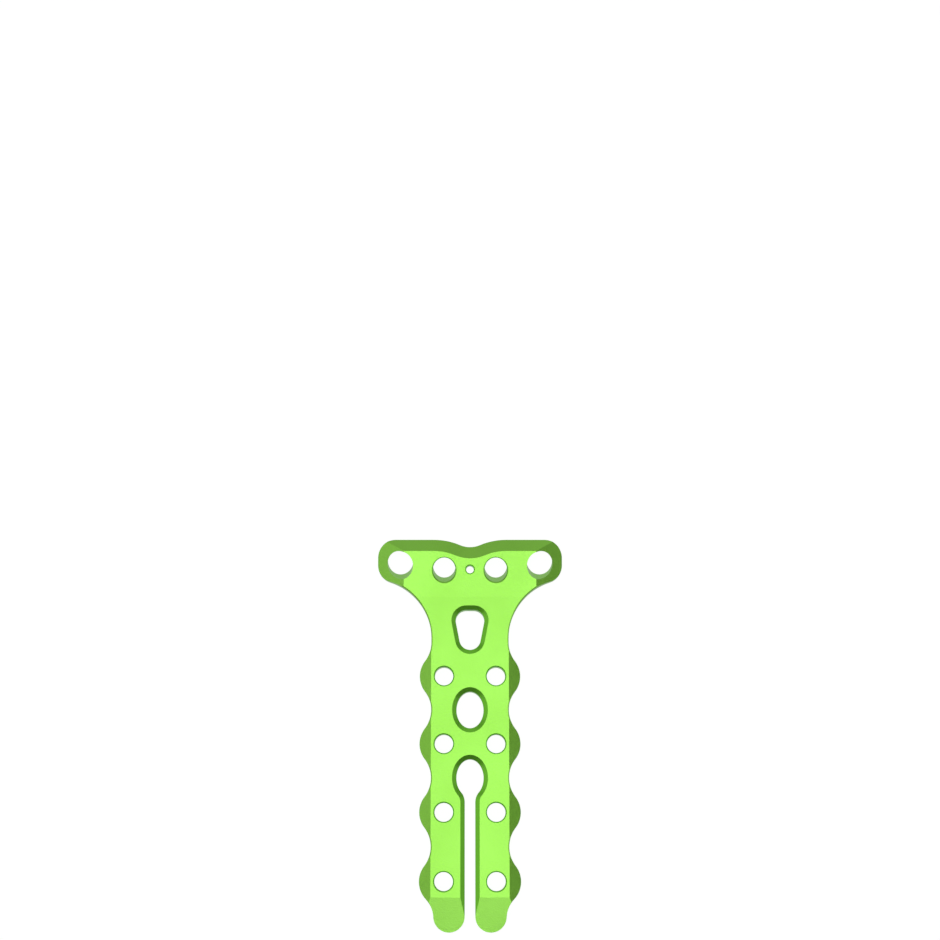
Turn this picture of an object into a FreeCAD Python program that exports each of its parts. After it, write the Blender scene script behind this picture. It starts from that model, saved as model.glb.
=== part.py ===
import FreeCAD, Part
import math
import os
import Sketcher

# A T-shaped bone plate for the end of a forearm bone, milled from one piece of metal.
# X runs across the plate, Y from the feet to the head, and Z from the bone side to the outer face.
# Lengths are in millimetres, slopes and tilts in degrees.
# A reach is a distance from the row of shaft holes nearest the head. An inset is a distance in from
# the head's side, and a setback is a distance back from the head's far edge.
SIZES = (
    ("plate_thickness", 2.0),
    ("head_width", 26.1),
    ("head_reach", 19.34),
    ("head_bend", 4.0),
    ("bend_reach", 11.14),
    ("head_corner_radius", 2.5),
    ("notch_half_width", 5.1),
    ("notch_depth", 1.04),
    ("notch_radius", 3.6),
    ("band_width", 1.74),
    ("band_depth", 1.05),
    ("wing_width", 3.69),
    ("wing_slope", 20.0),
    ("head_side_length", 1.08),
    ("neck_length", 0.59),
    ("column_spacing", 7.28),
    ("row_spacing", 9.4),
    ("shaft_hole_diameter", 2.6),
    ("ear_radius", 3.4),
    ("scallop_radius", 4.22),
    ("ear_bevel_start", 5.44),
    ("ear_bevel_slope", 20.0),
    ("foot_reach", 35.05),
    ("foot_tip_radius", 2.15),
    ("foot_neck_radius", 3.7),
    ("ramp_reach", 30.32),
    ("ramp_slope", 7.9),
    ("keystone_top_reach", 9.34),
    ("keystone_bottom_reach", 3.69),
    ("keystone_width", 4.04),
    ("keystone_radius", 1.5),
    ("oval_width", 3.8),
    ("oval_length", 5.1),
    ("keyhole_width", 3.8),
    ("keyhole_length", 5.16),
    ("keyhole_blend_radius", 2.0),
    ("slot_width", 1.47),
    ("window_bevel_width", 0.6),
    ("window_bevel_depth", 0.35),
    ("outer_hole_diameter", 3.62),
    ("outer_hole_inset", 3.19),
    ("outer_hole_setback", 3.8),
    ("outer_hole_tilt", 24.0),
    ("inner_hole_diameter", 3.2),
    ("inner_hole_spacing", 7.3),
    ("inner_hole_setback", 4.42),
    ("inner_hole_tilt", 22.0),
    ("wire_hole_diameter", 1.1),
    ("wire_hole_setback", 4.33),
    ("outer_edge_break", 0.15),
    ("bone_side_edge_break", 0.06),
)
ROW_COUNT = 4

# How many rows below the first row the two oval windows have their middles.
OVAL_ROW = 0.5
KEYHOLE_ROW = 1.5

# The nearness, in millimetres, at which a point counts as lying on a face.
NEAR = 1e-4

# A face counts as a wall where its normal rises less than this.
WALL_RISE = 0.5

# How a sketch numbers its own origin and axes, and the points of a line or an arc.
ORIGIN = (-1, 1)
ACROSS = -1
ALONG = -2
START, END, CENTRE = range(1, 4)

doc = FreeCAD.newDocument("BonePlate")
sheet = doc.addObject("Spreadsheet::Sheet", "sizes")
for line, (name, value) in enumerate(SIZES, start=1):
    sheet.set("A%d" % line, name)
    sheet.set("B%d" % line, str(value))
    sheet.setAlias("B%d" % line, name)
size = dict(SIZES)

body = doc.addObject("PartDesign::Body", "bone_plate")
body.Label = "bone_plate"
doc.recompute()


def origin_plane(role):
    """Return one of the three planes of the plate's own origin."""
    return next(item for item in body.Origin.OriginFeatures if item.Role == role)


def new_sketch(name, role):
    sketch = body.newObject("Sketcher::SketchObject", name)
    sketch.AttachmentSupport = [(origin_plane(role), "")]
    sketch.MapMode = "FlatFace"
    return sketch


def add_line(sketch, start, end):
    return sketch.addGeometry(Part.LineSegment(FreeCAD.Vector(*start), FreeCAD.Vector(*end)), False)


def add_arc(sketch, centre, radius, start_angle, end_angle):
    """Add an arc that runs anticlockwise between two angles in degrees."""
    circle = Part.Circle(FreeCAD.Vector(*centre), FreeCAD.Vector(0, 0, 1), radius)
    arc = Part.ArcOfCircle(circle, math.radians(start_angle), math.radians(end_angle))
    return sketch.addGeometry(arc, False)


def bearing(start, end):
    """Return the direction from one point to another, in degrees from 0 to 360."""
    return math.degrees(math.atan2(end[1] - start[1], end[0] - start[0])) % 360


def relate(sketch, kind, *items):
    return sketch.addConstraint(Sketcher.Constraint(kind, *items))


def dimension(sketch, kind, items, present, expression):
    """Add a dimension whose value follows the sheet of sizes."""
    index = sketch.addConstraint(Sketcher.Constraint(kind, *items, present))
    sketch.setExpression("Constraints[%d]" % index, expression)


def place_point(sketch, point, x_expression=None, y_expression=None):
    """Hold a point at a signed distance from the sketch's own origin."""
    present = sketch.getPoint(*point)
    if x_expression:
        dimension(sketch, "DistanceX", (*ORIGIN, *point), present.x, x_expression)
    if y_expression:
        dimension(sketch, "DistanceY", (*ORIGIN, *point), present.y, y_expression)


def close_with_lines(sketch, first, points, last):
    """Join two free ends of an outline by straight lines through the corners between them."""
    corners = [tuple(sketch.getPoint(*first))[:2], *points, tuple(sketch.getPoint(*last))[:2]]
    lines = []
    for start, end in zip(corners, corners[1:]):
        lines.append(add_line(sketch, start, end))
        upright = abs(start[0] - end[0]) < abs(start[1] - end[1])
        relate(sketch, "Vertical" if upright else "Horizontal", lines[-1])
    relate(sketch, "Coincident", *first, lines[0], START)
    for before, after in zip(lines, lines[1:]):
        relate(sketch, "Coincident", before, END, after, START)
    relate(sketch, "Coincident", lines[-1], END, *last)
    return lines


def check_change(feature, direction):
    """Stop if a feature has failed, or has left the metal as it was."""
    doc.recompute()
    change = feature.Shape.Volume - feature.BaseFeature.Shape.Volume
    if change * direction <= 0:
        raise RuntimeError("%s does not change the plate as it should" % feature.Name)


def pocket(name, sketch, one_way=False):
    """Cut a sketch out of the plate, both ways or only along its own normal."""
    feature = body.newObject("PartDesign::Pocket", name)
    feature.Profile = sketch
    feature.Type = "ThroughAll"
    feature.Midplane = not one_way
    feature.Reversed = one_way
    check_change(feature, -1)
    return feature


def bevel(name, base, edges, width, depth, wall_first):
    """Bevel edges of the outer face: the width is on the face, the depth is down the wall."""
    feature = body.newObject("PartDesign::Chamfer", name)
    feature.Base = (base, edges)
    feature.ChamferType = "Two distances"
    feature.FlipDirection = wall_first
    feature.setExpression("Size", width)
    feature.setExpression("Size2", depth)
    check_change(feature, -1)
    return feature


def side_profile():
    """The blank seen from the side: a flat shaft and a head bent towards the outer face."""
    sketch = new_sketch("side_profile_sketch", "YZ_Plane")
    thickness = size["plate_thickness"]
    bend = math.radians(size["head_bend"])
    bend_reach = size["bend_reach"]
    head_end = size["head_reach"] + thickness
    foot_end = -size["foot_reach"] - thickness
    rise = math.tan(bend)
    under_bend = bend_reach + thickness * math.tan(bend / 2)
    corners = (
        (foot_end, 0),
        (under_bend, 0),
        (head_end, (head_end - under_bend) * rise),
        (head_end, thickness + (head_end - bend_reach) * rise),
        (bend_reach, thickness),
        (foot_end, thickness),
    )
    under_shaft, under_head, head_wall, head_face, shaft_face, foot_wall = [
        add_line(sketch, start, end) for start, end in zip(corners, corners[1:] + corners[:1])
    ]
    loop = (under_shaft, under_head, head_wall, head_face, shaft_face, foot_wall)
    for before, after in zip(loop, loop[1:] + loop[:1]):
        relate(sketch, "Coincident", before, END, after, START)
    relate(sketch, "Horizontal", shaft_face)
    relate(sketch, "Vertical", head_wall)
    relate(sketch, "Vertical", foot_wall)
    relate(sketch, "Parallel", under_head, head_face)
    relate(sketch, "PointOnObject", under_shaft, START, ACROSS)
    relate(sketch, "PointOnObject", under_shaft, END, ACROSS)
    dimension(sketch, "Angle", (ACROSS, under_head), bend, "sizes.head_bend")
    dimension(sketch, "Distance", (shaft_face, START, under_head), thickness, "sizes.plate_thickness")
    place_point(sketch, (shaft_face, START), "sizes.bend_reach", "sizes.plate_thickness")
    place_point(sketch, (head_wall, START), "sizes.head_reach + sizes.plate_thickness")
    place_point(sketch, (foot_wall, END), "-sizes.foot_reach - sizes.plate_thickness")
    blank = body.newObject("PartDesign::Pad", "blank")
    blank.Profile = sketch
    blank.Midplane = True
    blank.setExpression("Length", "sizes.head_width + 2 * sizes.plate_thickness")
    doc.recompute()
    return blank


def distal_edge():
    """Cut the head's far edge, with its shallow notch, right across the blank."""
    sketch = new_sketch("distal_edge_sketch", "XY_Plane")
    overshoot = 2 * size["plate_thickness"]
    side = size["head_width"] / 2 + overshoot
    edge = size["head_reach"]
    shoulder = size["notch_half_width"]
    depth = size["notch_depth"]
    hollow_radius = size["notch_radius"]
    shoulder_radius = (shoulder ** 2 + depth ** 2) / (2 * depth) - hollow_radius
    hollow_centre = (0, edge - depth + hollow_radius)
    right_centre = (shoulder, edge - shoulder_radius)
    left_centre = (-shoulder, edge - shoulder_radius)
    rise = bearing(left_centre, hollow_centre)
    left_flat = add_line(sketch, (-side, edge), (-shoulder, edge))
    left_shoulder = add_arc(sketch, left_centre, shoulder_radius, rise, 90)
    hollow = add_arc(sketch, hollow_centre, hollow_radius, 180 + rise, 360 - rise)
    right_shoulder = add_arc(sketch, right_centre, shoulder_radius, 90, 180 - rise)
    right_flat = add_line(sketch, (shoulder, edge), (side, edge))
    relate(sketch, "Tangent", left_flat, END, left_shoulder, END)
    relate(sketch, "Tangent", left_shoulder, START, hollow, START)
    relate(sketch, "Tangent", hollow, END, right_shoulder, END)
    relate(sketch, "Tangent", right_shoulder, START, right_flat, START)
    relate(sketch, "Horizontal", left_flat)
    relate(sketch, "Horizontal", right_flat)
    relate(sketch, "Symmetric", left_shoulder, CENTRE, right_shoulder, CENTRE, ALONG)
    relate(sketch, "PointOnObject", hollow, CENTRE, ALONG)
    lines = close_with_lines(
        sketch, (right_flat, END), ((side, edge + overshoot), (-side, edge + overshoot)), (left_flat, START)
    )
    dimension(sketch, "Radius", (hollow,), hollow_radius, "sizes.notch_radius")
    place_point(sketch, (hollow, CENTRE), None, "sizes.head_reach - sizes.notch_depth + sizes.notch_radius")
    place_point(sketch, (right_flat, START), "sizes.notch_half_width", "sizes.head_reach")
    place_point(
        sketch,
        (lines[0], END),
        "sizes.head_width / 2 + 2 * sizes.plate_thickness",
        "sizes.head_reach + 2 * sizes.plate_thickness",
    )
    place_point(sketch, (lines[-1], START), "-sizes.head_width / 2 - 2 * sizes.plate_thickness")
    return pocket("distal_edge", sketch)


def outer_height(reach):
    """Height of the outer face, which rises from the bend."""
    rise = math.tan(math.radians(size["head_bend"]))
    return size["plate_thickness"] + max(0, reach - size["bend_reach"]) * rise


def bone_side_height(reach):
    """Height of the face on the bone side, which rises under the head."""
    slope = math.radians(size["head_bend"])
    under_bend = size["bend_reach"] + size["plate_thickness"] * math.tan(slope / 2)
    return max(0, reach - under_bend) * math.tan(slope)


def sample_points(edge):
    """Both ends of an edge and its middle."""
    span = edge.LastParameter - edge.FirstParameter
    return [edge.valueAt(edge.FirstParameter + part * span) for part in (0, 0.5, 1)]


def lies_on(edge, height_at):
    return all(abs(point.z - height_at(point.y)) < NEAR for point in sample_points(edge))


def outer_edges(feature, half_width, low_reach, high_reach):
    """Name the edges of the outer face within a stretch of the plate."""
    names = []
    for number, edge in enumerate(feature.Shape.Edges, start=1):
        points = sample_points(edge)
        inside = all(abs(point.x) < half_width and low_reach < point.y < high_reach for point in points)
        if inside and lies_on(edge, outer_height):
            names.append("Edge%d" % number)
    return names


def meets_wall(shape, edge):
    """Tell whether a face beside the edge is upright or leans only as far as a tilted hole."""
    middle = sample_points(edge)[1]
    faces = shape.ancestorsOfType(edge, Part.Face)
    return any(abs(face.normalAt(*face.Surface.parameter(middle)).z) < WALL_RISE for face in faces)


def break_edges(name, base, height_at):
    """Take the sharpness off the edges where a face meets its walls."""
    shape = base.Shape
    names = []
    for number, edge in enumerate(shape.Edges, start=1):
        if lies_on(edge, height_at) and meets_wall(shape, edge):
            names.append("Edge%d" % number)
    feature = body.newObject("PartDesign::Chamfer", name)
    feature.Base = (base, names)
    feature.setExpression("Size", "sizes." + name)
    check_change(feature, -1)
    return feature


def distal_band(feature):
    """The broad bevel along the whole far edge of the head."""
    half_width = size["head_width"] + size["plate_thickness"]
    low_reach = size["head_reach"] - size["notch_depth"] - NEAR
    edges = outer_edges(feature, half_width, low_reach, size["head_reach"] + NEAR)
    return bevel("distal_band", feature, edges, "sizes.band_width", "sizes.band_depth", wall_first=True)


def keystone_window():
    """A rounded wedge, wider towards the head."""
    sketch = new_sketch("keystone_sketch", "XY_Plane")
    radius = size["keystone_radius"]
    low = (0, size["keystone_bottom_reach"] + radius)
    right = (size["keystone_width"] / 2 - radius, size["keystone_top_reach"] - radius)
    left = (-right[0], right[1])
    taper = math.degrees(math.atan2(right[0], right[1] - low[1]))

    def on_circle(centre, angle):
        turn = math.radians(angle)
        return (centre[0] + radius * math.cos(turn), centre[1] + radius * math.sin(turn))

    bottom = add_arc(sketch, low, radius, 180 + taper, 360 - taper)
    right_side = add_line(sketch, on_circle(low, -taper), on_circle(right, -taper))
    right_corner = add_arc(sketch, right, radius, -taper, 90)
    top = add_line(sketch, on_circle(right, 90), on_circle(left, 90))
    left_corner = add_arc(sketch, left, radius, 90, 180 + taper)
    left_side = add_line(sketch, on_circle(left, 180 + taper), on_circle(low, 180 + taper))
    loop = (bottom, right_side, right_corner, top, left_corner, left_side)
    for before, after in zip(loop, loop[1:] + loop[:1]):
        relate(sketch, "Tangent", before, END, after, START)
    relate(sketch, "Equal", bottom, right_corner)
    relate(sketch, "Equal", bottom, left_corner)
    relate(sketch, "Symmetric", left_corner, CENTRE, right_corner, CENTRE, ALONG)
    relate(sketch, "PointOnObject", bottom, CENTRE, ALONG)
    dimension(sketch, "Radius", (bottom,), radius, "sizes.keystone_radius")
    place_point(sketch, (right_corner, CENTRE), "sizes.keystone_width / 2 - sizes.keystone_radius")
    place_point(sketch, (top, START), None, "sizes.keystone_top_reach")
    place_point(sketch, (bottom, CENTRE), None, "sizes.keystone_bottom_reach + sizes.keystone_radius")
    return pocket("keystone_window", sketch)


def oval_hole(name, width, length, rows_below):
    """An upright oval on the centreline, midway between two rows of shaft holes."""
    sketch = new_sketch(name + "_sketch", "XY_Plane")
    middle = -rows_below * size["row_spacing"]
    far_end = FreeCAD.Vector(0, middle + size[length] / 2)
    near_side = FreeCAD.Vector(size[width] / 2, middle)
    oval = sketch.addGeometry(Part.Ellipse(far_end, near_side, FreeCAD.Vector(0, middle)), False)
    sketch.exposeInternalGeometry(oval)
    long_axis, short_axis = oval + 1, oval + 2
    relate(sketch, "PointOnObject", oval, CENTRE, ALONG)
    relate(sketch, "Vertical", long_axis)
    dimension(sketch, "Distance", (long_axis,), size[length], "sizes." + length)
    dimension(sketch, "Distance", (short_axis,), size[width], "sizes." + width)
    place_point(sketch, (oval, CENTRE), None, "-%s * sizes.row_spacing" % rows_below)
    return pocket(name, sketch)


def slot():
    """The long slot that parts the two feet, from inside the keyhole to past their tips."""
    sketch = new_sketch("slot_sketch", "XY_Plane")
    side = size["slot_width"] / 2
    far = -KEYHOLE_ROW * size["row_spacing"]
    near = -size["foot_reach"] - 2 * size["plate_thickness"]
    top = add_line(sketch, (-side, far), (side, far))
    lines = close_with_lines(sketch, (top, END), ((side, near), (-side, near)), (top, START))
    relate(sketch, "Symmetric", top, START, top, END, ALONG)
    place_point(sketch, (top, END), "sizes.slot_width / 2", "-%s * sizes.row_spacing" % KEYHOLE_ROW)
    place_point(sketch, (lines[0], END), None, "-sizes.foot_reach - 2 * sizes.plate_thickness")
    return pocket("slot", sketch)


def keyhole_blend(base):
    """Round the two corners where the keyhole runs into the slot."""
    names = []
    for number, edge in enumerate(base.Shape.Edges, start=1):
        box = edge.BoundBox
        upright = box.XLength < NEAR and box.YLength < NEAR
        on_slot = abs(abs(box.Center.x) - size["slot_width"] / 2) < NEAR
        if upright and on_slot and box.YMin > -size["foot_reach"]:
            names.append("Edge%d" % number)
    feature = body.newObject("PartDesign::Fillet", "keyhole_blend")
    feature.Base = (base, names)
    feature.setExpression("Radius", "sizes.keyhole_blend_radius")
    check_change(feature, -1)
    return feature


def window_bevel(name, feature, low_reach, high_reach):
    """The narrow bevel round one window on the outer face."""
    half_width = (size["keystone_width"] + size["keyhole_width"]) / 2
    edges = outer_edges(feature, half_width, low_reach, high_reach)
    width = "sizes.window_bevel_width"
    return bevel(name, feature, edges, width, "sizes.window_bevel_depth", wall_first=False)


def tilt_about_x(sketch, turn):
    """Turn a sketch about the line across the plate by an angle from the sheet."""
    across = FreeCAD.Rotation(FreeCAD.Vector(1, 0, 0), 1)
    sketch.AttachmentOffset = FreeCAD.Placement(FreeCAD.Vector(), across)
    sketch.setExpression(".AttachmentOffset.Rotation.Angle", turn)


def slope_cut(name, start, start_expression, slope, in_head):
    """Slope both sides of the outer face down from a crease beside the centreline."""
    sketch = new_sketch(name + "_sketch", "XZ_Plane")
    thickness = size["plate_thickness"]
    far = size["head_width"] / 2 + 2 * thickness
    fall = (far - start) * math.tan(math.radians(size[slope]))
    for hand, sign in ((1, ""), (-1, "-")):
        crease = (hand * start, 0)
        slope_line = add_line(sketch, crease, (hand * far, -fall))
        corners = ((hand * far, thickness), (crease[0], thickness))
        lines = close_with_lines(sketch, (slope_line, END), corners, (slope_line, START))
        relate(sketch, "PointOnObject", slope_line, START, ACROSS)
        place_point(sketch, (slope_line, START), sign + start_expression)
        place_point(
            sketch,
            (lines[1], START),
            sign + "(sizes.head_width / 2 + 2 * sizes.plate_thickness)",
            "sizes.plate_thickness",
        )
        items = (slope_line, START, lines[1], END)
        angle = math.radians(size[slope])
        if hand == -1:
            items = (lines[1], END, slope_line, START)
        dimension(sketch, "Angle", items, angle, "sizes." + slope)
    if in_head:
        tilt_about_x(sketch, "sizes.head_bend")
    far_end = "-sizes.bend_reach" if in_head else "-sizes.row_spacing / 2"
    sketch.setExpression(".AttachmentOffset.Base.y", "sizes.plate_thickness")
    sketch.setExpression(".AttachmentOffset.Base.z", far_end)
    return pocket(name, sketch, one_way=not in_head)


def foot_ramp():
    """Thin both feet towards their tips, on the outer face."""
    sketch = new_sketch("foot_ramp_sketch", "YZ_Plane")
    thickness = size["plate_thickness"]
    far = -size["foot_reach"] - 2 * thickness
    start = (-size["ramp_reach"], thickness)
    slope = math.radians(size["ramp_slope"])
    ramp = add_line(sketch, start, (far, thickness - (start[0] - far) * math.tan(slope)))
    corners = ((far, 2 * thickness), (start[0], 2 * thickness))
    lines = close_with_lines(sketch, (ramp, END), corners, (ramp, START))
    place_point(sketch, (ramp, START), "-sizes.ramp_reach", "sizes.plate_thickness")
    place_point(
        sketch,
        (lines[1], START),
        "-sizes.foot_reach - 2 * sizes.plate_thickness",
        "2 * sizes.plate_thickness",
    )
    dimension(sketch, "Angle", (lines[1], END, ramp, START), slope, "sizes.ramp_slope")
    return pocket("foot_ramp", sketch)


def third_corner(first, second, from_first, from_second):
    """The point on the right of a line between two points, at a set distance from each."""
    apart = math.dist(first, second)
    along = (from_first ** 2 - from_second ** 2 + apart ** 2) / (2 * apart)
    aside = math.sqrt(from_first ** 2 - along ** 2)
    step = ((second[0] - first[0]) / apart, (second[1] - first[1]) / apart)
    return (first[0] + along * step[0] - aside * step[1], first[1] + along * step[1] + aside * step[0])


def plate_side():
    """Cut one side of the plate in plan, from the head's corner to the tip of the foot."""
    sketch = new_sketch("plate_side_sketch", "XY_Plane")
    row = size["row_spacing"]
    ear_radius = size["ear_radius"]
    scallop_radius = size["scallop_radius"]
    corner_radius = size["head_corner_radius"]
    tip_radius = size["foot_tip_radius"]
    foot_neck_radius = size["foot_neck_radius"]
    side = size["head_width"] / 2
    overshoot = 2 * size["plate_thickness"]

    ears = [(size["column_spacing"] / 2, -number * row) for number in range(ROW_COUNT)]
    reach = ear_radius + scallop_radius
    scallop_side = ears[0][0] + math.sqrt(reach ** 2 - row ** 2 / 4)
    scallops = [(scallop_side, row / 2 - number * row) for number in range(ROW_COUNT)]
    waist = scallop_side - scallop_radius
    high_corner = (side - corner_radius, size["head_reach"] - corner_radius)
    low_corner = (high_corner[0], high_corner[1] - size["head_side_length"])
    neck_reach = row / 2 + size["neck_length"]
    overhang = low_corner[0] - waist
    rise = low_corner[1] - neck_reach
    neck_radius = (overhang ** 2 + rise ** 2 - corner_radius ** 2) / (2 * (overhang + corner_radius))
    neck = (waist + neck_radius, neck_reach)
    tip = (size["slot_width"] / 2 + tip_radius, tip_radius - size["foot_reach"])
    foot_neck = third_corner(ears[-1], tip, ear_radius + foot_neck_radius, tip_radius + foot_neck_radius)

    high = add_arc(sketch, high_corner, corner_radius, 0, 90)
    wall = add_line(sketch, (side, high_corner[1]), (side, low_corner[1]))
    low = add_arc(sketch, low_corner, corner_radius, bearing(low_corner, neck) - 360, 0)
    throat = add_arc(sketch, neck, neck_radius, bearing(neck, low_corner), 180)
    straight = add_line(sketch, (waist, neck[1]), (waist, scallops[0][1]))
    relate(sketch, "Tangent", high, START, wall, START)
    relate(sketch, "Tangent", wall, END, low, END)
    relate(sketch, "Tangent", low, START, throat, START)
    relate(sketch, "Tangent", throat, END, straight, START)

    before, before_end = straight, END
    hollows = []
    lobes = []
    above_scallops = [(waist, scallops[0][1])] + ears[:-1]
    below_ears = scallops[1:] + [foot_neck]
    for above, scallop, ear, below in zip(above_scallops, scallops, ears, below_ears):
        hollow = add_arc(sketch, scallop, scallop_radius, bearing(scallop, above), bearing(scallop, ear))
        lobe = add_arc(sketch, ear, ear_radius, bearing(ear, below) - 360, bearing(ear, scallop))
        relate(sketch, "Tangent", before, before_end, hollow, START)
        relate(sketch, "Tangent", hollow, END, lobe, END)
        before, before_end = lobe, START
        hollows.append(hollow)
        lobes.append(lobe)
    foot_hollow = add_arc(
        sketch, foot_neck, foot_neck_radius, bearing(foot_neck, ears[-1]), bearing(foot_neck, tip)
    )
    foot_tip = add_arc(sketch, tip, tip_radius, 180, bearing(tip, foot_neck))
    relate(sketch, "Tangent", lobes[-1], START, foot_hollow, START)
    relate(sketch, "Tangent", foot_hollow, END, foot_tip, END)

    far = side + overshoot
    below = -size["foot_reach"] - overshoot
    above = size["head_reach"] + overshoot
    slot_side = size["slot_width"] / 2
    corners = ((slot_side, below), (far, below), (far, above), (high_corner[0], above))
    lines = close_with_lines(sketch, (foot_tip, START), corners, (high, END))
    relate(sketch, "Vertical", wall)
    relate(sketch, "Vertical", straight)
    relate(sketch, "Equal", high, low)
    relate(sketch, "Horizontal", foot_tip, CENTRE, foot_tip, START)
    relate(sketch, "Vertical", high, CENTRE, high, END)
    for hollow in hollows[1:]:
        relate(sketch, "Equal", hollows[0], hollow)
    for upper, lower in zip(lobes, lobes[1:]):
        relate(sketch, "Equal", upper, lower)
        relate(sketch, "Vertical", upper, CENTRE, lower, CENTRE)
        dimension(sketch, "DistanceY", (lower, CENTRE, upper, CENTRE), row, "sizes.row_spacing")
    relate(sketch, "PointOnObject", lobes[0], CENTRE, ACROSS)

    dimension(sketch, "Radius", (high,), corner_radius, "sizes.head_corner_radius")
    dimension(sketch, "Radius", (hollows[0],), scallop_radius, "sizes.scallop_radius")
    dimension(sketch, "Radius", (lobes[0],), ear_radius, "sizes.ear_radius")
    dimension(sketch, "Radius", (foot_hollow,), foot_neck_radius, "sizes.foot_neck_radius")
    dimension(sketch, "Radius", (foot_tip,), tip_radius, "sizes.foot_tip_radius")
    place_point(sketch, (wall, START), "sizes.head_width / 2")
    place_point(sketch, (high, END), None, "sizes.head_reach")
    dimension(
        sketch, "DistanceY", (wall, END, wall, START), size["head_side_length"], "sizes.head_side_length"
    )
    dimension(sketch, "DistanceY", (straight, END, straight, START), size["neck_length"], "sizes.neck_length")
    place_point(sketch, (hollows[0], CENTRE), None, "sizes.row_spacing / 2")
    place_point(sketch, (lobes[0], CENTRE), "sizes.column_spacing / 2")
    place_point(sketch, (foot_tip, START), "sizes.slot_width / 2")
    place_point(sketch, (foot_tip, CENTRE), None, "sizes.foot_tip_radius - sizes.foot_reach")
    place_point(
        sketch,
        (lines[1], END),
        "sizes.head_width / 2 + 2 * sizes.plate_thickness",
        "-sizes.foot_reach - 2 * sizes.plate_thickness",
    )
    place_point(sketch, (lines[-1], START), None, "sizes.head_reach + 2 * sizes.plate_thickness")
    return pocket("plate_side", sketch)


def other_side(feature):
    """Repeat the cut on the other side of the centreline."""
    mirrored = body.newObject("PartDesign::Mirrored", "plate_other_side")
    mirrored.Originals = [feature]
    mirrored.MirrorPlane = (origin_plane("YZ_Plane"), [""])
    body.Tip = mirrored
    check_change(mirrored, -1)
    return mirrored


def hole_pair(sketch, side, side_expression, diameter):
    """Draw two equal circles on a line across the plate, each one to its side of the centreline."""
    for hand, sign in ((1, ""), (-1, "-")):
        centre = FreeCAD.Vector(hand * side, 0)
        ring = Part.Circle(centre, FreeCAD.Vector(0, 0, 1), size[diameter] / 2)
        hole = sketch.addGeometry(ring, False)
        relate(sketch, "PointOnObject", hole, CENTRE, ACROSS)
        place_point(sketch, (hole, CENTRE), sign + side_expression)
        dimension(sketch, "Diameter", (hole,), size[diameter], "sizes." + diameter)


def shaft_holes():
    """Two columns of screw holes, each one in the middle of its ear."""
    sketch = new_sketch("shaft_hole_sketch", "XY_Plane")
    hole_pair(sketch, size["column_spacing"] / 2, "(sizes.column_spacing / 2)", "shaft_hole_diameter")
    first_row = pocket("shaft_hole_row", sketch)
    rows = body.newObject("PartDesign::LinearPattern", "shaft_holes")
    rows.Originals = [first_row]
    rows.Direction = (sketch, ["V_Axis"])
    rows.Reversed = True
    rows.Occurrences = ROW_COUNT
    rows.setExpression("Length", "%d * sizes.row_spacing" % (ROW_COUNT - 1))
    body.Tip = rows
    check_change(rows, -1)
    return rows


def head_sketch(name, setback, tilt):
    """A sketch square to a head hole, with its origin on the head's outer face."""
    sketch = new_sketch(name, "XY_Plane")
    tilt_about_x(sketch, "sizes.head_bend" + tilt)
    reach = "sizes.head_reach - sizes.%s" % setback
    height = "sizes.plate_thickness + (%s - sizes.bend_reach) * tan(sizes.head_bend)" % reach
    sketch.setExpression(".AttachmentOffset.Base.y", reach)
    sketch.setExpression(".AttachmentOffset.Base.z", height)
    doc.recompute()
    return sketch


def tilted_holes(name, side, side_expression):
    """Two screw holes in the head that lean, so that their screws run on under its far edge."""
    sketch = head_sketch(name + "_sketch", name + "_setback", " + sizes.%s_tilt" % name)
    hole_pair(sketch, side, side_expression, name + "_diameter")
    return pocket(name + "s", sketch)


def wire_hole():
    """The small hole for a guide wire, square to the middle of the head."""
    sketch = head_sketch("wire_hole_sketch", "wire_hole_setback", "")
    ring = Part.Circle(FreeCAD.Vector(), FreeCAD.Vector(0, 0, 1), size["wire_hole_diameter"] / 2)
    hole = sketch.addGeometry(ring, False)
    relate(sketch, "Coincident", hole, CENTRE, *ORIGIN)
    dimension(sketch, "Diameter", (hole,), size["wire_hole_diameter"], "sizes.wire_hole_diameter")
    return pocket("wire_hole", sketch)


side_profile()
distal_band(distal_edge())
window_bevel("keystone_bevel", keystone_window(), 0, size["bend_reach"])
oval = oval_hole("oval_window", "oval_width", "oval_length", OVAL_ROW)
window_bevel("oval_bevel", oval, -size["row_spacing"], 0)
oval_hole("keyhole", "keyhole_width", "keyhole_length", KEYHOLE_ROW)
blank_end = -size["foot_reach"] - 2 * size["plate_thickness"]
window_bevel("keyhole_bevel", keyhole_blend(slot()), blank_end, -size["row_spacing"])
other_side(plate_side())
shaft_holes()
tilted_holes("inner_hole", size["inner_hole_spacing"] / 2, "(sizes.inner_hole_spacing / 2)")
break_edges("outer_edge_break", wire_hole(), outer_height)
outer_side = size["head_width"] / 2 - size["outer_hole_inset"]
tilted_holes("outer_hole", outer_side, "(sizes.head_width / 2 - sizes.outer_hole_inset)")
wing_start = size["head_width"] / 2 - size["wing_width"]
slope_cut("wings", wing_start, "(sizes.head_width / 2 - sizes.wing_width)", "wing_slope", in_head=True)
slope_cut("ear_bevels", size["ear_bevel_start"], "sizes.ear_bevel_start", "ear_bevel_slope", in_head=False)
break_edges("bone_side_edge_break", foot_ramp(), bone_side_height)
body.setExpression("Placement.Base.y", "(sizes.foot_reach - sizes.head_reach) / 2")
doc.recompute()

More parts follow.
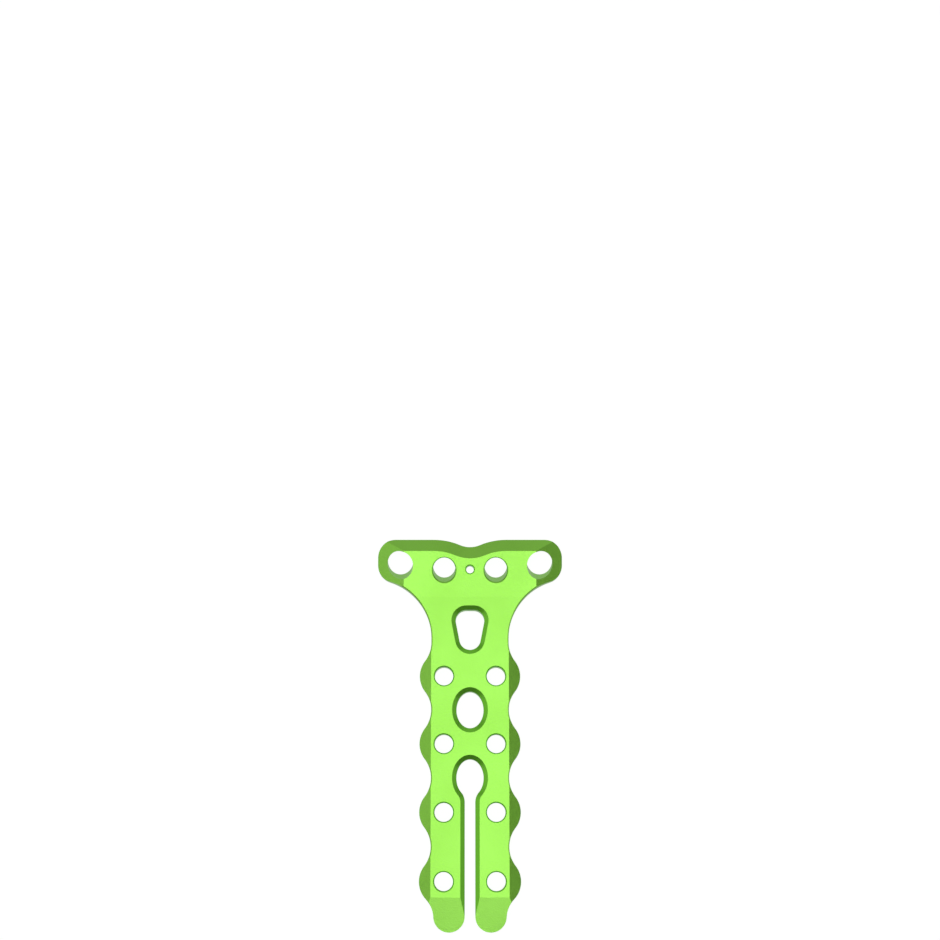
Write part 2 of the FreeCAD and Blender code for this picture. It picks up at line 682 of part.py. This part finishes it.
for item in doc.Objects:
    if "Invalid" in item.State or "Error" in item.State:
        raise RuntimeError("%s has failed" % item.Name)
if body.Shape.isNull() or not body.Shape.isValid() or len(body.Shape.Solids) != 1:
    raise RuntimeError("the plate is not one sound solid")
os.makedirs("parts", exist_ok=True)
body.Shape.exportStep(os.path.join("parts", body.Label + ".step"))
box = body.Shape.BoundBox
extent = (box.XLength, box.YLength, box.ZLength)
print("plate %.2f x %.2f x %.2f mm" % extent, "and %.1f mm3" % body.Shape.Volume)
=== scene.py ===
import math

import bpy
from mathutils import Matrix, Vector

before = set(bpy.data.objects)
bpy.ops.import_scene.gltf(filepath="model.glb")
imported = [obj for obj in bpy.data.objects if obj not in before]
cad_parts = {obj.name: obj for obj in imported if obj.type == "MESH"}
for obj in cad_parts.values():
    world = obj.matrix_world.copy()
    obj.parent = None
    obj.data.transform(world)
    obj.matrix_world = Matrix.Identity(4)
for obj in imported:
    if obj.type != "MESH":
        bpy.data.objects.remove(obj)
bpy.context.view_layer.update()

PLATE_NODE = "bone_plate"

# The camera, worked out from the photograph's perspective: it looks steeply down on the outer face.
# Lengths in this script are in metres unless their names say otherwise.
PICTURE_SIZE = 940
FOCAL_LENGTH_PX = 1974.0
SENSOR_MM = 36.0
CAMERA_ELEVATION = math.radians(79.3)
CAMERA_PLACE = Vector((0.0, -0.01512, 0.27891))
CAMERA_NEAR = 0.01
CAMERA_FAR = 10.0

# The floor glows like a lit white table, so that the plate lies on white without a hard shadow.
# It lies a hair under the plate, so that the two faces never share one plane.
FLOOR_SIZE = 3.0
FLOOR_GREY = 0.1
FLOOR_GLOW = 0.97
FLOOR_HEIGHT = -0.00002

# Each softbox: name, degrees from the vertical, compass degrees, distance, width and radiance.
# A compass angle of 0 is towards +X and 90 towards +Y.
SOFTBOXES = (
    ("overhead", 0.0, 0.0, 0.60, 0.52, 1.17),
    ("left", 56.0, 180.0, 0.60, 0.60, 0.35),
    ("right", 72.0, 0.0, 0.60, 0.50, 0.29),
    ("back", 62.0, 90.0, 0.60, 0.64, 0.27),
    ("back_left", 64.0, 135.0, 0.60, 0.28, 0.14),
    ("back_right", 64.0, 45.0, 0.60, 0.28, 0.14),
)

# The studio around the plate is dim above the horizon and brighter below it. The metal reflects the
# lower part in place of the floor, whose full glow would wash out the walls of the holes.
SURROUND_ABOVE = 0.12
SURROUND_BELOW = 0.46
HORIZON_BLEND = 0.05

# The anodised green drifts between two tints over a few millimetres.
PALE_GREEN = (0.365, 0.91, 0.084)
BRIGHT_GREEN = (0.405, 0.99, 0.104)
DRIFT_SCALE = 120.0
DRIFT_DETAIL = 2.0

# The blasted grain: its scale, and how far it moves the roughness and lifts the surface.
GRAIN_SCALE = 6000.0
GRAIN_DETAIL = 3.0
ROUGHNESS_RANGE = (0.31, 0.41)
GRAIN_STRENGTH = 0.6
GRAIN_HEIGHT = 0.00003

# Noise textures keep mostly between these two values.
NOISE_LOW = 0.3
NOISE_HIGH = 0.7

# The anodised film is clear and glassy, and adds a little white to every reflection.
FILM_WEIGHT = 0.5
FILM_ROUGHNESS = 0.15
FILM_IOR = 1.6

# The bevels and walls of the windows along the middle of the plate are painted a deeper green, a
# painted shade for the darkening in these recesses. Their strip runs from short of the feet's round
# tips to short of the screw holes in the head. What faces up or down more than this is a flat face.
WINDOW_STRIP_HALF_WIDTH = 0.0027
STRIP_SOFTNESS = 0.0001
WINDOWS_START = -0.025
WINDOWS_END = 0.0195
BEVEL_FACING = 0.95
FACING_SOFTNESS = 0.02
WINDOW_SHADE_GREEN = (0.28, 0.93, 0.045)


def new_material(name):
    """A node material that holds just one shader, wired to its output."""
    material = bpy.data.materials.new(name)
    material.use_nodes = True
    nodes = material.node_tree.nodes
    nodes.clear()
    links = material.node_tree.links
    output = nodes.new("ShaderNodeOutputMaterial")
    shader = nodes.new("ShaderNodeBsdfPrincipled")
    links.new(shader.outputs["BSDF"], output.inputs["Surface"])
    return material, nodes, links, shader


def noise(nodes, links, place, scale, detail):
    """A noise texture over the object's own coordinates."""
    texture = nodes.new("ShaderNodeTexNoise")
    texture.inputs["Scale"].default_value = scale
    texture.inputs["Detail"].default_value = detail
    links.new(place, texture.inputs["Vector"])
    return texture.outputs["Fac"]


def spread(nodes, links, value, low, high):
    """Stretch a noise over the range from low to high."""
    ramp = nodes.new("ShaderNodeMapRange")
    ramp.inputs["From Min"].default_value = NOISE_LOW
    ramp.inputs["From Max"].default_value = NOISE_HIGH
    ramp.inputs["To Min"].default_value = low
    ramp.inputs["To Max"].default_value = high
    links.new(value, ramp.inputs["Value"])
    return ramp.outputs["Result"]


def blend_colours(nodes, links, factor, first, second):
    """Blend two colours, each of them a tuple or another node's output."""
    mix = nodes.new("ShaderNodeMix")
    mix.data_type = "RGBA"
    links.new(factor, mix.inputs["Factor"])
    for socket, colour in (("A", first), ("B", second)):
        if isinstance(colour, tuple):
            mix.inputs[socket].default_value = (*colour, 1.0)
        else:
            links.new(colour, mix.inputs[socket])
    return mix.outputs["Result"]


def math_node(nodes, links, operation, *values):
    """One step of arithmetic on the outputs of other nodes."""
    node = nodes.new("ShaderNodeMath")
    node.operation = operation
    for index, value in enumerate(values):
        links.new(value, node.inputs[index])
    return node.outputs["Value"]


def below(nodes, links, value, limit, softness):
    """1 where the value is under the limit and 0 where it is over it."""
    step = nodes.new("ShaderNodeMapRange")
    step.inputs["From Min"].default_value = limit
    step.inputs["From Max"].default_value = limit + softness
    step.inputs["To Min"].default_value = 1.0
    step.inputs["To Max"].default_value = 0.0
    links.new(value, step.inputs["Value"])
    return step.outputs["Result"]


def window_shade_mask(nodes, links, coordinates):
    """1 on the bevels and walls of the windows along the plate's middle, where the painted shade
    goes, and 0 elsewhere.
    """
    place = nodes.new("ShaderNodeSeparateXYZ")
    links.new(coordinates.outputs["Object"], place.inputs["Vector"])
    sideways = math_node(nodes, links, "ABSOLUTE", place.outputs["X"])
    in_strip = below(nodes, links, sideways, WINDOW_STRIP_HALF_WIDTH, STRIP_SOFTNESS)
    facing = nodes.new("ShaderNodeSeparateXYZ")
    links.new(coordinates.outputs["Normal"], facing.inputs["Vector"])
    flatness = math_node(nodes, links, "ABSOLUTE", facing.outputs["Z"])
    sloped = below(nodes, links, flatness, BEVEL_FACING, FACING_SOFTNESS)
    off_head = below(nodes, links, place.outputs["Y"], WINDOWS_END, STRIP_SOFTNESS)
    on_tips = below(nodes, links, place.outputs["Y"], WINDOWS_START, STRIP_SOFTNESS)
    between = math_node(nodes, links, "SUBTRACT", off_head, on_tips)
    in_windows = math_node(nodes, links, "MULTIPLY", in_strip, between)
    return math_node(nodes, links, "MULTIPLY", in_windows, sloped)


def anodised_metal():
    """Green anodised titanium: a satin colour over a fine blasted and tumbled grain, with a painted
    shade of deeper green on the window bevels.
    """
    material, nodes, links, shader = new_material("anodised_green")
    shader.inputs["Metallic"].default_value = 1.0
    coordinates = nodes.new("ShaderNodeTexCoord")
    place = coordinates.outputs["Object"]

    drift = spread(nodes, links, noise(nodes, links, place, DRIFT_SCALE, DRIFT_DETAIL), 0.0, 1.0)
    tint = blend_colours(nodes, links, drift, PALE_GREEN, BRIGHT_GREEN)
    # Painted shade: a deeper green on the bevels and walls of the windows.
    tint = blend_colours(nodes, links, window_shade_mask(nodes, links, coordinates), tint, WINDOW_SHADE_GREEN)
    links.new(tint, shader.inputs["Base Color"])

    grain = noise(nodes, links, place, GRAIN_SCALE, GRAIN_DETAIL)
    links.new(spread(nodes, links, grain, *ROUGHNESS_RANGE), shader.inputs["Roughness"])

    shader.inputs["Coat Weight"].default_value = FILM_WEIGHT
    shader.inputs["Coat Roughness"].default_value = FILM_ROUGHNESS
    shader.inputs["Coat IOR"].default_value = FILM_IOR

    bump = nodes.new("ShaderNodeBump")
    bump.inputs["Strength"].default_value = GRAIN_STRENGTH
    bump.inputs["Distance"].default_value = GRAIN_HEIGHT
    links.new(grain, bump.inputs["Height"])
    links.new(bump.outputs["Normal"], shader.inputs["Normal"])
    return material


def floor_material():
    """Plain white, lit from within."""
    material, _, _, shader = new_material("pale_floor")
    shader.inputs["Base Color"].default_value = (FLOOR_GREY, FLOOR_GREY, FLOOR_GREY, 1.0)
    shader.inputs["Roughness"].default_value = 1.0
    shader.inputs["Specular IOR Level"].default_value = 0.0
    shader.inputs["Emission Color"].default_value = (1.0, 1.0, 1.0, 1.0)
    shader.inputs["Emission Strength"].default_value = FLOOR_GLOW
    return material


def add_floor(material):
    """A plain pale floor under the plate. The metal doesn't reflect it, but its surround."""
    half = FLOOR_SIZE / 2
    corners = [(-half, -half), (half, -half), (half, half), (-half, half)]
    mesh = bpy.data.meshes.new("floor")
    mesh.from_pydata([(x, y, FLOOR_HEIGHT) for x, y in corners], [], [(0, 1, 2, 3)])
    floor = bpy.data.objects.new("floor", mesh)
    floor.data.materials.append(material)
    bpy.context.scene.collection.objects.link(floor)
    floor.visible_glossy = False


def add_camera():
    """The photograph's camera, which looks along +Y and down."""
    data = bpy.data.cameras.new("camera")
    data.sensor_fit = "HORIZONTAL"
    data.sensor_width = SENSOR_MM
    data.lens = FOCAL_LENGTH_PX / PICTURE_SIZE * SENSOR_MM
    data.clip_start = CAMERA_NEAR
    data.clip_end = CAMERA_FAR
    camera = bpy.data.objects.new("camera", data)
    camera.location = CAMERA_PLACE
    camera.rotation_euler = (math.pi / 2 - CAMERA_ELEVATION, 0.0, 0.0)
    bpy.context.scene.collection.objects.link(camera)
    bpy.context.scene.camera = camera


def add_softbox(name, lean, compass, distance, width, radiance):
    """A square area light that faces the plate. Its power follows from its size and radiance."""
    data = bpy.data.lights.new(name, "AREA")
    data.shape = "SQUARE"
    data.size = width
    data.energy = radiance * math.pi * width * width
    light = bpy.data.objects.new(name, data)
    lean = math.radians(lean)
    compass = math.radians(compass)
    level = math.sin(lean)
    away = Vector((level * math.cos(compass), level * math.sin(compass), math.cos(lean)))
    light.location = away * distance
    light.rotation_euler = away.to_track_quat("Z", "Y").to_euler()
    bpy.context.scene.collection.objects.link(light)


def set_world():
    """Two plain greys, one above the horizon and one below it."""
    world = bpy.data.worlds.new("studio")
    world.use_nodes = True
    nodes = world.node_tree.nodes
    links = world.node_tree.links
    direction = nodes.new("ShaderNodeTexCoord").outputs["Generated"]
    split = nodes.new("ShaderNodeSeparateXYZ")
    links.new(direction, split.inputs["Vector"])
    blend = nodes.new("ShaderNodeMapRange")
    blend.inputs["From Min"].default_value = -HORIZON_BLEND
    blend.inputs["From Max"].default_value = HORIZON_BLEND
    blend.inputs["To Min"].default_value = SURROUND_BELOW
    blend.inputs["To Max"].default_value = SURROUND_ABOVE
    links.new(split.outputs["Z"], blend.inputs["Value"])
    background = nodes["Background"]
    links.new(blend.outputs["Result"], background.inputs["Strength"])
    background.inputs["Color"].default_value = (1.0, 1.0, 1.0, 1.0)
    bpy.context.scene.world = world


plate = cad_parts[PLATE_NODE]
plate.data.materials.clear()
plate.data.materials.append(anodised_metal())
add_floor(floor_material())
add_camera()
for softbox in SOFTBOXES:
    add_softbox(*softbox)
set_world()
bpy.context.scene.view_settings.view_transform = "Standard"
